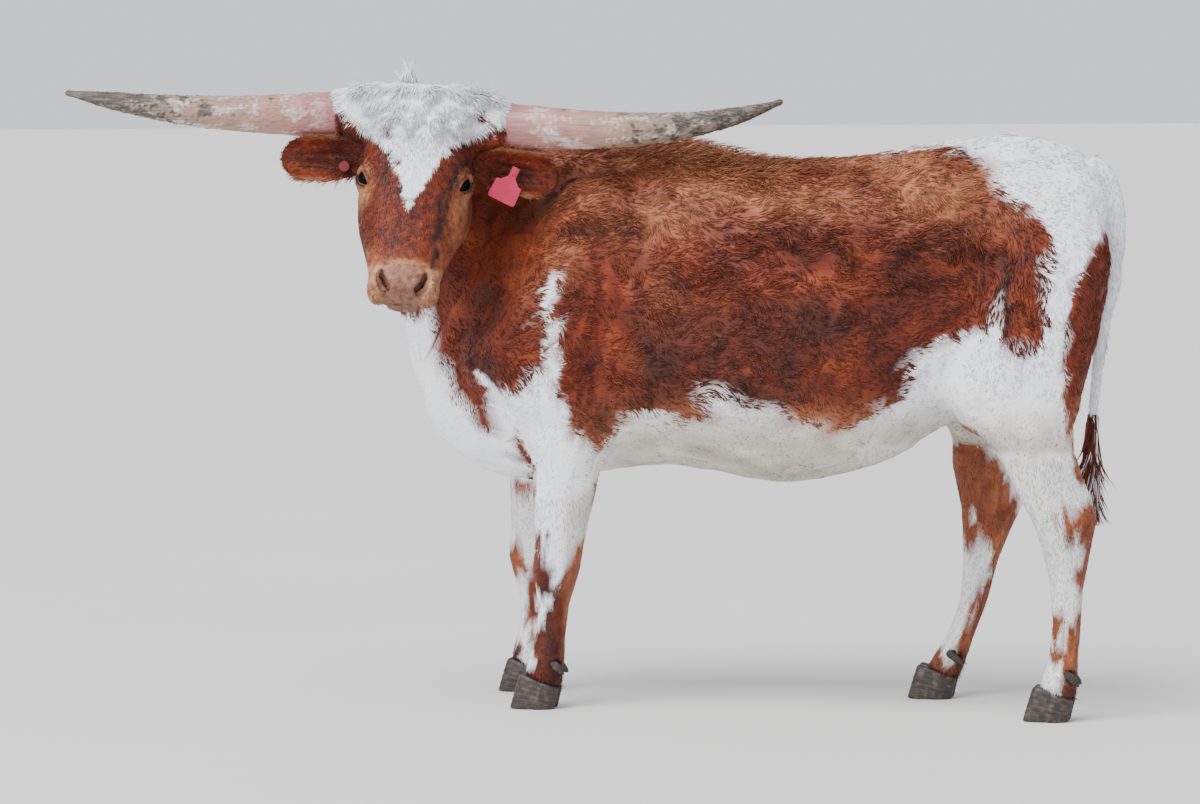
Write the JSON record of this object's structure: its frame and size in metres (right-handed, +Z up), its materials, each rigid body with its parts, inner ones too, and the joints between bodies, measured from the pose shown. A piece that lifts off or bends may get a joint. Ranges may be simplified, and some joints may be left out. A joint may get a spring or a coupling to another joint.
{
  "type": "texas longhorn",
  "caption": "Life-size standing longhorn cow, head turned to face its left side, long horns held level.",
  "frame": {"origin": "centre of the whole animal's bounding box, on the floor under its hooves", "axes": "+X from the head end towards the tail, -Y the animal's left side, which its face turns to, +Z up"},
  "size_m": [2.3714, 0.7634, 1.4679],
  "materials": {
    "coat": "short winter coat, red-brown with white patches",
    "horn": "horn sheath, satin, flaking towards the tip",
    "hoof": "hoof horn, dull",
    "eye": "wet and glossy",
    "tag": "flexible moulded plastic",
    "button": "moulded plastic"
  },
  "bodies": {
    "root": {"dewclaw_foreleg_left_a": "hoof", "dewclaw_foreleg_left_b": "hoof", "dewclaw_foreleg_right_a": "hoof", "dewclaw_foreleg_right_b": "hoof", "dewclaw_hindleg_left_a": "hoof", "dewclaw_hindleg_left_b": "hoof", "dewclaw_hindleg_right_a": "hoof", "dewclaw_hindleg_right_b": "hoof", "ear_button_right": "button", "ear_left": "coat", "ear_right": "coat", "ear_tag": "tag", "ear_tag_button": "tag", "ear_tag_stud": "tag", "eye_left": "eye", "eye_right": "eye", "foreleg_left_lower": "coat", "foreleg_left_upper": "coat", "foreleg_right_lower": "coat", "foreleg_right_upper": "coat", "head": "coat", "hindleg_left_lower": "coat", "hindleg_left_upper": "coat", "hindleg_right_lower": "coat", "hindleg_right_upper": "coat", "hoof_foreleg_left_a": "hoof", "hoof_foreleg_left_b": "hoof", "hoof_foreleg_right_a": "hoof", "hoof_foreleg_right_b": "hoof", "hoof_hindleg_left_a": "hoof", "hoof_hindleg_left_b": "hoof", "hoof_hindleg_right_a": "hoof", "hoof_hindleg_right_b": "hoof", "horn_left": "horn", "horn_right": "horn", "neck": "coat", "tail": "coat", "tail_switch": "coat", "torso": "coat"}
  },
  "joints": []
}
